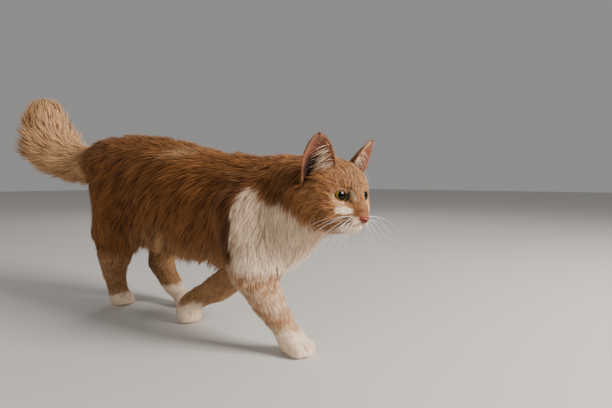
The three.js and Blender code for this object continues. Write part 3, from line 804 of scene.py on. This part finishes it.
def flow_of(points, normals):
    """The way the coat lies, along the skin."""
    part = regions(points)
    local = in_head(points)
    share = part["trunk"][0][:, None]
    flank = step(0.92, 0.35, normals[:, 2])[:, None]
    chest = step(255, 300, points[:, 0])[:, None]
    course = share * ((1 - flank) * [-1, 0, -0.05] + flank * [-0.62, 0, -0.78])
    course += share * chest * [0.5, 0, -1.6]
    share = part["neck"][0][:, None]
    lower = step(0.5, -0.6, normals[:, 2])[:, None]
    course += share * ((1 - lower) * [-0.85, 0, -0.52] + lower * [-0.28, 0, -0.95])
    away = local - [20, 0, -20]
    away[:, 2] -= 6 * step(0, -20, local[:, 0])
    away = unit(away) @ HEAD_TURN.T
    below = step(-6, -30, local[:, 2])[:, None] * step(0, -30, local[:, 0])[:, None]
    course += part["head"][0][:, None] * (away + below * [-0.2, 0, -0.5])
    course += part["tail"][0][:, None] * part["tail"][2]
    for name in LEGS:
        share, _, way = part[name]
        course += share[:, None] * (unit(way) + [-0.16, 0, 0])
    paw = step(32, 18, points[:, 2])[:, None]
    course = course * (1 - paw) + paw * [0.9, 0, -0.45]
    course -= dot(course, normals)[:, None] * normals
    return unit(course)


corner = skin[skin_faces]
area = np.linalg.norm(np.cross(corner[:, 1] - corner[:, 0], corner[:, 2] - corner[:, 0]), axis=1) / 2
face_middle, face_normal = corner.mean(axis=1), unit(skin_normals[skin_faces].mean(axis=1))
length, _ = coat_of(face_middle, face_normal)
share = regions(face_middle)
on_leg = sum(share[name][0] for name in LEGS)


def spacing_of(length, on_leg):
    """How far apart the tufts stand, which is wider where they are longer and on the legs."""
    return 0.42 + 0.042 * length + on_leg * (0.54 - 0.010 * length)


spacing = spacing_of(length, on_leg)
local = in_head(face_middle)
on_ear, towards, _ = ear_shares(local)
clear = on_ear * step(-0.1, 0.2, dot(face_normal @ HEAD_TURN, unit(towards)))
for side in (-1, 1):
    u, v = ear_place(local, side)
    clear = np.where(local[:, 1] * side > 0, clear * step(0.96, 0.86, np.abs(u)), clear)
for side in (-1, 1):
    almond, distance, level, _ = eye_reach(local, side)
    clear = np.maximum(clear, (lid_reach(almond, level) < 1.08) & (distance < 15.5))
    gap, along, _ = reach(local, lip_line(side))
    clear = np.maximum(clear, gap < 2.8 - 2.2 * along)
clear = np.maximum(clear, (nose_reach(local) < 0.9) & (local[:, 0] > 6) & (local[:, 2] < -22))
clear = np.maximum(clear, face_middle[:, 2] < 1.5)
count = np.floor(area / spacing ** 2 * (1 - clear) + rng.random(len(area))).astype(int)
pick = np.repeat(np.arange(len(area)), count)
share = rng.dirichlet((1, 1, 1), len(pick))
roots = np.einsum("ij,ijk->ik", share, corner[pick])
normals = unit(np.einsum("ij,ijk->ik", share, skin_normals[skin_faces[pick]]))
length, lift = coat_of(roots, normals)
course = flow_of(roots, normals)
part = regions(roots)
on_ear, _, ear_course = ear_shares(in_head(roots))
ear_course = ear_course @ HEAD_TURN.T
course = unit(course * (1 - on_ear[:, None]) + (ear_course - dot(ear_course, normals)[:, None] * normals)
              * on_ear[:, None])
near_ear = step(0.0, 0.15, on_ear)
length = length * (1 - on_ear) + 3.2 * on_ear
length = length + near_ear * (np.minimum(length, 5.0) - length)
for side in (-1, 1):
    almond, distance, _, _ = eye_reach(in_head(roots), side)
    length = length * (1 - 0.4 * step(1.9, 1.2, almond) * (distance < 20))
sway = rng.normal(0, 0.10, len(roots))
course = unit(course + np.cross(normals, course) * sway[:, None])


def clumps(roots, course, gap, pull):
    """Each tuft's lock: how far its tip is drawn sideways to the lock's middle, and the lock's number."""
    chosen = np.nonzero(rng.random(len(roots)) < (thin / gap) ** 2)[0]
    middles = KDTree(len(chosen))
    for i, c in enumerate(chosen):
        middles.insert(roots[c], i)
    middles.balance()
    lock = np.array([middles.find(p)[1] for p in roots.tolist()])
    across = roots[chosen[lock]] - roots
    across -= dot(across, course)[:, None] * course
    return across * pull, lock


thin = spacing_of(length, sum(part[name][0] for name in LEGS))
wide, lock = clumps(roots, course, 2.0 + 0.36 * length, 0.45)
fine, _ = clumps(roots, course, 1.2 + 0.12 * length, 0.6)
drawn = wide + fine
drawn *= np.minimum(1, 0.35 * length / np.maximum(np.linalg.norm(drawn, axis=1), 1e-6))[:, None]
lock_size = rng.normal(size=lock.max() + 1)[lock]
lock_tone = np.clip(rng.normal(size=lock.max() + 1), -2, 2)[lock] / 2
tone = np.clip(rng.normal(size=len(roots)), -2, 2) / 2
length = length * np.clip(1 + 0.10 * lock_size + 0.12 * rng.normal(size=len(roots)), 0.6, 1.35)
lift = np.radians(lift) * np.clip(1 + 0.16 * lock_size + 0.25 * rng.normal(size=len(roots)), 0.35, 1.7)
under = step(0.0, -0.7, normals[:, 2]) * np.maximum(part["trunk"][0], part["neck"][0])
on_tail = part["tail"][0] * step(0.08, 0.22, part["tail"][1])
free = np.clip(0.12 + 0.5 * under + 0.3 * on_tail, 0, 0.85)
marks = markings(roots + course * (0.55 * length * np.cos(lift))[:, None], normals)

names = ["head", "neck", "tail", *LEGS]
kind = np.array([part[n][0] for n in ["trunk", *names]]).argmax(axis=0)
labels = np.array(["trunk", *names])[kind]
labels = np.where(labels == "trunk", np.where(roots[:, 1] < 0, "side_right", "side_left"), labels)
labels = np.where(np.isin(labels, ("side_right", "side_left")) & (roots[:, 0] > FRONT),
                  np.char.add(labels.astype("U20"), "_front"), labels)
labels = np.where((labels == "head") & (in_head(roots)[:, 0] < -14), "cheeks", labels)


def unwrapped(label, roots):
    """Each root's place on the region's own unwrap, from 0 to 1 both ways."""
    if label in ("head", "cheeks"):
        away = in_head(roots) - [-18, 0, -2]
        round_it = np.arctan2(away[:, 1], away[:, 0]) / (2 * math.pi) + 0.5
        return np.stack([round_it, np.arccos(unit(away)[:, 2]) / math.pi], axis=1)
    chain = np.array(LEGS.get(label) or {"neck": NECK, "tail": TAIL}.get(label, SPINE), float)
    _, along, way = reach(roots, chain)
    at = along * (len(chain) - 1)
    spot = np.array([np.interp(at, np.arange(len(chain)), chain[:, i]) for i in range(3)]).T
    away = roots - spot
    first = unit(np.cross(way, [0.02, 1, 0.01]))
    second = np.cross(way, first)
    return np.stack([along, np.arctan2(dot(away, second), dot(away, first)) / (2 * math.pi) + 0.5], axis=1)


def tufts(label, chosen, segments):
    """The tufts of one region, each laid along the skin from its root in a few steps."""
    root, normal, way = roots[chosen], normals[chosen], course[chosen]
    size, rise, loose, pull = length[chosen], lift[chosen], free[chosen], drawn[chosen]
    spots, ups = [root - normal * 0.5], [normal]
    at, up, heading = root, normal, way
    ahead_step = (size * np.cos(rise) / segments)[:, None]
    for k in range(1, segments + 1):
        s = k / segments
        at, up = on_skin(at + heading * ahead_step)
        heading = unit(heading - dot(heading, up)[:, None] * up)
        if label != "head":
            heading = unit(heading * 0.6 + flow_of(at, up) * 0.4)
        laid = at + up * (size * np.sin(rise) * s ** 0.85)[:, None]
        straight = root + (way * np.cos(rise)[:, None] + normal * np.sin(rise)[:, None]) * (size * s)[:, None]
        straight[:, 2] -= 0.16 * size * s ** 2
        spot = laid * (1 - loose[:, None]) + straight * loose[:, None] + pull * s ** 1.4
        spot[:, 2] = np.maximum(spot[:, 2], CLEARANCE)
        spots.append(spot)
        ups.append(up)
    facts = {key: values[chosen] for key, values in marks.items()}
    facts.update(tone=tone[chosen], lock=lock_tone[chosen])
    width = (FINEST + WIDENING * size) * np.clip(rng.normal(1, 0.2, len(root)), 0.5, 1.6)
    bundle("coat_" + label, np.array(spots), np.array(ups), width, facts, unwrapped(label, root))


def bundle(name, spots, ups, width, facts, places):
    """One mesh of tapered, ridged tufts, from the middles of their rings and the way up at each."""
    segments, root = len(spots) - 1, spots[0]
    ahead = np.gradient(spots, axis=0)
    side = unit(np.cross(unit(ahead), ups))
    roll = rng.normal(0, 0.35, len(root))[None, :, None]
    side = side * np.cos(roll) + ups * np.sin(roll)
    up = unit(np.cross(side, unit(ahead)))
    profile = [0.75, 1.0, 0.72][:segments] if segments == 3 else [0.8, 0.9]
    points, shade, alongs, across = [], [], [], []
    for k, w in enumerate(profile):
        half = (width * w)[:, None]
        for place, high in ((-1, 0), (0, 0.6), (1, 0)):
            points.append(spots[k] + side[k] * place * half + up[k] * high * half)
            shade.append(unit(up[k] * 1.0 + side[k] * place * 0.55))
            alongs.append(np.full(len(root), k / segments))
            across.append(np.full(len(root), place * 0.5 + 0.5))
    points.append(spots[-1])
    shade.append(unit(up[-1] + unit(ahead[-1]) * 0.3))
    alongs.append(np.ones(len(root)))
    across.append(np.full(len(root), 0.5))
    rows = len(points)
    points = np.array(points).transpose(1, 0, 2).reshape(-1, 3)
    shade = np.array(shade).transpose(1, 0, 2).reshape(-1, 3)
    alongs, across = np.array(alongs).T.ravel(), np.array(across).T.ravel()
    faces = []
    for k in range(segments - 1):
        for a, b in ((0, 1), (1, 2)):
            p, q, r, t = 3 * k + a, 3 * k + b, 3 * k + 3 + b, 3 * k + 3 + a
            faces += [(p, q, r), (p, r, t)]
    last = 3 * (segments - 1)
    faces += [(last, last + 1, rows - 1), (last + 1, last + 2, rows - 1)]
    faces = (np.arange(len(root))[:, None, None] * rows + np.array(faces)[None]).reshape(-1, 3)
    mesh = mesh_of(name, metres(points), faces)
    mesh.normals_split_custom_set_from_vertices(shade.astype(np.float32))
    for key, values in facts.items():
        mark(mesh, key, np.repeat(values, rows))
    mark(mesh, "root", np.repeat(metres(root), rows, axis=0))
    mark(mesh, "along", alongs)
    place = np.repeat(places * 0.99, rows, axis=0)
    place += np.stack([across, alongs], axis=1) * PATCH
    flat = mesh.uv_layers.new(name="OFBake")
    flat.data.foreach_set("uv", place[faces.ravel()].astype(np.float32).ravel())
    mesh.materials.append(fur)
    thing = shown(name, mesh)
    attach(thing, "root")


for label in np.unique(labels):
    chosen = np.nonzero(labels == label)[0]
    tufts(str(label), chosen, 3 if length[chosen].mean() > 9 else 2)

# ---- Ear wisps -------------------------------------------------------------------------------
# Long pale hairs that stand on the front edge of each ear and cross its opening, over a thin
# down of short hairs on the bare skin inside.
long_ones, short_ones = 52, 420
for side, name in ((-1, "ear_wisps_right"), (1, "ear_wisps_left")):
    _, axis, opening, breadth, _ = ear_frame(side)
    v = np.concatenate([rng.beta(1.3, 2.2, long_ones) * 0.72 + 0.02, rng.uniform(0.02, 0.9, short_ones)])
    u = np.concatenate([rng.uniform(0.45, 0.96, long_ones), rng.uniform(-0.85, 0.85, short_ones)])
    size = np.concatenate([rng.uniform(13, 27, long_ones) * (1 - 0.35 * v[:long_ones]),
                           rng.uniform(3, 6, short_ones)])
    start, inward = ear_point(side, u, v, 1.9)
    is_long = (np.arange(len(v)) < long_ones)[:, None]
    way = np.where(is_long, -breadth * 0.85 + opening * 0.42 - axis * 0.05,
                   axis * 0.8 - breadth * 0.35 + inward * 0.2)
    sag = np.where(is_long, -axis * 0.28 - opening * 0.30 - breadth * 0.05, 0)
    way = unit(way + rng.normal(0, 0.16, (len(v), 3)))
    spots = []
    for s in (0, 0.33, 0.67, 1):
        spot = start - inward * 0.5 * (s == 0) + way * (size * s)[:, None] + sag * (size * s ** 2)[:, None]
        spots.append(from_head(spot * [1, side, 1]))
    spots = np.array(spots)
    ups = unit((opening + axis * 0.3) * [1, side, 1] @ HEAD_TURN.T) + 0 * spots
    blank = np.zeros(len(v))
    facts = {"white": np.where(is_long[:, 0], 0.6, 0.1), "pale": blank + 0.8, "dark": blank, "rust": blank,
             "deep_and_shade": blank, "tone": np.clip(rng.normal(0, 0.5, len(v)), -1, 1), "lock": blank}
    width = np.where(is_long[:, 0], 0.13, 0.09)
    bundle(name, spots, ups, width, facts, np.stack([u * 0.45 + 0.5, v * 0.9], axis=1))

# ---- Eyes ------------------------------------------------------------------------------------
# Wet balls with a round black pupil in an amber iris and a slightly bulging clear front.
# They sit in the sockets behind the lids.
GAZE = math.radians(12)                  # outward of the head's own line
BULGE = 1.1


def ring_faces(rings, parts):
    """Four-cornered faces between rings of points that are each closed on themselves."""
    cell = np.arange(rings - 1)[:, None] * parts
    here, there = np.arange(parts), (np.arange(parts) + 1) % parts
    faces = np.stack([cell + here, cell + parts + here, cell + parts + there, cell + there], axis=-1)
    return faces.reshape(-1, 4)


def eye_ball(name, side):
    """One eye, with its pole at the middle of the pupil."""
    centre = EYE_AT * [1, side, 1]
    look = unit(np.array([math.cos(GAZE), side * math.sin(GAZE), 0.03]))
    rings, parts = 64, 48
    polar = np.linspace(0, math.pi, rings)[:, None]
    turn = np.linspace(0, 2 * math.pi, parts, endpoint=False)[None, :]
    first = unit(np.cross(look, [0, 0, 1]))
    second = np.cross(first, look)
    bulge = BULGE * step(math.radians(44), math.radians(20), polar)
    radius = EYE_RADIUS + bulge + 0 * turn
    across = radius * np.sin(polar)
    ball = (look * (radius * np.cos(polar))[..., None] + first * (across * np.cos(turn))[..., None]
            + second * (across * np.sin(turn))[..., None])
    points = centre + ball.reshape(-1, 3)
    mesh = mesh_of(name, metres(from_head(points)), ring_faces(rings, parts))
    mark(mesh, "angle", np.repeat(np.degrees(polar.ravel()), parts))
    circle = np.stack([np.cos(turn), np.sin(turn), 0 * turn], axis=-1)[0]
    mark(mesh, "turn", np.tile(circle, (rings, 1)))
    mesh.materials.append(eye_paint)
    thing = shown(name, mesh)
    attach(thing, "root")
    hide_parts(name)


def iris_colour(w):
    angle = w.read("angle")
    fibres = w.noise(w.place("turn"), 9.0, 5.0)
    # the amber is kept dark as painted shade from the lids
    amber = angle.ramp(24.0, 37.0).mix(srgb(134, 102, 46), srgb(98, 74, 34))
    amber = (fibres - 0.2).ramp(0.0, 0.8).mix(amber, srgb(156, 124, 62))
    # beyond the iris the ball is dark brown, partly its own colour and partly painted shade
    amber = angle.ramp(34.0, 39.0).mix(amber, srgb(44, 27, 17))
    return angle.ramp(25.5, 27.5).mix(srgb(2, 2, 2), amber)


eye_paint = paint("eye", iris_colour, Roughness=0.04, Specular_IOR_Level=0.16)
for side, name in ((-1, "eye_right"), (1, "eye_left")):
    eye_ball(name, side)

# ---- Nose ------------------------------------------------------------------------------------
# Bare moist leather at the end of the muzzle, broad above and narrow below, with a
# comma-shaped nostril on each side.
rings, parts = 40, 56
polar = np.linspace(0.0, math.pi, rings)[:, None] + 0 * np.zeros((1, parts))
turn = np.linspace(0, 2 * math.pi, parts, endpoint=False)[None, :] + 0 * polar
ball = np.stack([np.cos(polar), np.sin(polar) * np.cos(turn), np.sin(polar) * np.sin(turn)], axis=-1)
ball = ball.reshape(-1, 3)
nose = ball * NOSE_HALF
nose[:, 1] *= np.clip(0.84 + 0.13 * nose[:, 2], 0.3, 1.04)
nose[:, 2] = np.where(nose[:, 2] > 0, nose[:, 2] * (0.60 + 0.010 * nose[:, 1] ** 2), nose[:, 2])
nose[:, 0] += 0.16 * nose[:, 2] - 0.03 * nose[:, 1] ** 2
nostril_shade = np.zeros(len(nose))
for side in (-1, 1):
    nostril = [(5.0, 2.7 * side, -1.5, 0.6), (3.9, 4.1 * side, -1.2, 0.3), (1.0, 5.9 * side, 0.1, 0)]
    gap, _, _ = reach(nose, nostril)
    pit = np.exp(-(np.maximum(gap, 0) / 0.62) ** 2)
    nose -= unit(ball) * (1.4 * pit)[:, None]
    nostril_shade = np.maximum(nostril_shade, pit)
pit = np.exp(-(nose[:, 1] / 0.6) ** 2) * step(0.5, -1.5, nose[:, 2])
nose -= unit(ball) * (0.7 * pit)[:, None]
nose += NOSE_AT
nose_mesh = mesh_of("nose_leather", metres(from_head(nose)), ring_faces(rings, parts))
mark(nose_mesh, "pit", nostril_shade)


def nose_colour(w):
    pink = w.grain(500.0).mix(srgb(116, 46, 34), srgb(144, 64, 48))
    # painted shade in the nostrils
    return w.read("pit").ramp(0.35, 0.9).mix(pink, srgb(40, 16, 12))


def nose_pores(w):
    return w.node("ShaderNodeTexVoronoi", {}, {"Scale": 1400.0}, 0)


leather = paint("nose_leather", nose_colour, nose_pores, 0.35, 0.0003, Roughness=0.38, Specular_IOR_Level=0.5)
nose_mesh.materials.append(leather)
nose_piece = shown("nose_leather", nose_mesh)
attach(nose_piece, "root")
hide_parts("nose")

# ---- Whiskers --------------------------------------------------------------------------------
# Stiff white hairs in rows on the pads and a few over the eyes, tapering to fine tips that droop.
THICK = 0.14                             # half a whisker's thickness at its root
lines = []                               # root, way out, length, droop and half thickness
for side in (-1, 1):
    for number, root in enumerate(whisker_roots(side)):
        row, place = divmod(number, 4)
        start = in_head(on_skin(from_head(root[None]))[0])[0]
        away = unit(np.array([0.30 - 0.34 * place + rng.normal(0, 0.08), side * (1 + rng.normal(0, 0.08)),
                              0.08 - 0.26 * row + rng.normal(0, 0.06)]))
        size = rng.uniform(40, 62) * (1 - 0.1 * row)
        lines.append((start, away, size, rng.uniform(0.25, 0.65) + 0.12 * row, THICK))
    for place in range(4):
        start = np.array([-2.0 - place, (15 + 3.5 * place) * side, 14])
        away = unit(np.array([0.25, side * (0.25 + 0.12 * place), 0.9]))
        lines.append((start, away, rng.uniform(18, 26), 0.2, THICK / 2))
points, faces = [], []
rings, parts = 14, 5
for start, away, size, droop, thick in lines:
    s = np.linspace(0, 1, rings)
    line = start - away * 2 + away * (size * s)[:, None]
    line[:, 2] -= droop * size * s ** 2
    line[:, 0] -= 0.12 * size * s ** 2
    ahead = unit(np.gradient(line, axis=0))
    first = unit(np.cross(ahead, [0.3, 0.1, 0.9]))
    second = np.cross(ahead, first)
    turn = np.linspace(0, 2 * math.pi, parts, endpoint=False)
    radius = thick * (1 - 0.85 * s)
    ring = (line[:, None] + (first[:, None] * np.cos(turn)[None, :, None] + second[:, None]
                             * np.sin(turn)[None, :, None]) * radius[:, None, None])
    faces.append(ring_faces(rings, parts)[:, ::-1] + len(points) * rings * parts)
    points.append(ring.reshape(-1, 3))
whisker_mesh = mesh_of("whiskers", metres(from_head(np.concatenate(points))), np.concatenate(faces))
horn = paint("whisker", lambda w: w.grain(80.0).mix(srgb(240, 232, 222), srgb(255, 250, 244)), Roughness=0.35)
whisker_mesh.materials.append(horn)
whiskers = shown("whiskers", whisker_mesh)
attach(whiskers, "root")

# ---- Stage -----------------------------------------------------------------------------------
# A plain pale floor, soft studio light and the camera.
floor_mesh = mesh_of("floor", [(-8, -8, 0), (8, -8, 0), (8, 8, 0), (-8, 8, 0)], [(0, 1, 2, 3)])
boards = paint("floor", lambda w: w.grain(3.0).mix((0.60, 0.58, 0.55), (0.62, 0.60, 0.57)), Roughness=0.6)
floor_mesh.materials.append(boards)
floor = shown("floor", floor_mesh)

world = bpy.data.worlds.new("room")
world.use_nodes = True
world.node_tree.nodes["Background"].inputs["Color"].default_value = (0.80, 0.79, 0.78, 1)
world.node_tree.nodes["Background"].inputs["Strength"].default_value = 0.36
bpy.context.scene.world = world
for name, place, size, power, colour in [("key", (1.8, 0.38, 1.0), 0.75, 74, (1.0, 0.95, 0.89)),
                                         ("fill", (0.3, -1.9, 1.0), 1.4, 9, (1.0, 0.97, 0.94)),
                                         ("back", (-1.2, 1.4, 1.4), 1.0, 8, (1.0, 0.97, 0.93))]:
    lamp = bpy.data.lights.new(name, "AREA")
    lamp.size, lamp.energy, lamp.color = size, power, colour
    thing = bpy.data.objects.new(name, lamp)
    bpy.context.scene.collection.objects.link(thing)
    thing.location = place
    thing.rotation_euler = (Vector((0.05, 0, 0.15)) - Vector(place)).to_track_quat("-Z", "Y").to_euler()
    thing.visible_glossy = name == "key"

camera = bpy.data.objects.new("camera", bpy.data.cameras.new("camera"))
bpy.context.scene.collection.objects.link(camera)
camera.location = (0.61475, -0.4321, 0.205)
camera.data.lens = 27.65
aim = math.radians(38)
down = math.atan((204 - 179) / 470)      # middle row less the horizon's, over the focal length in rows
view = Vector((-math.sin(aim) * math.cos(down), math.cos(aim) * math.cos(down), -math.sin(down)))
camera.rotation_euler = view.to_track_quat("-Z", "Y").to_euler()
camera.data.clip_start = 0.01
bpy.context.scene.camera = camera
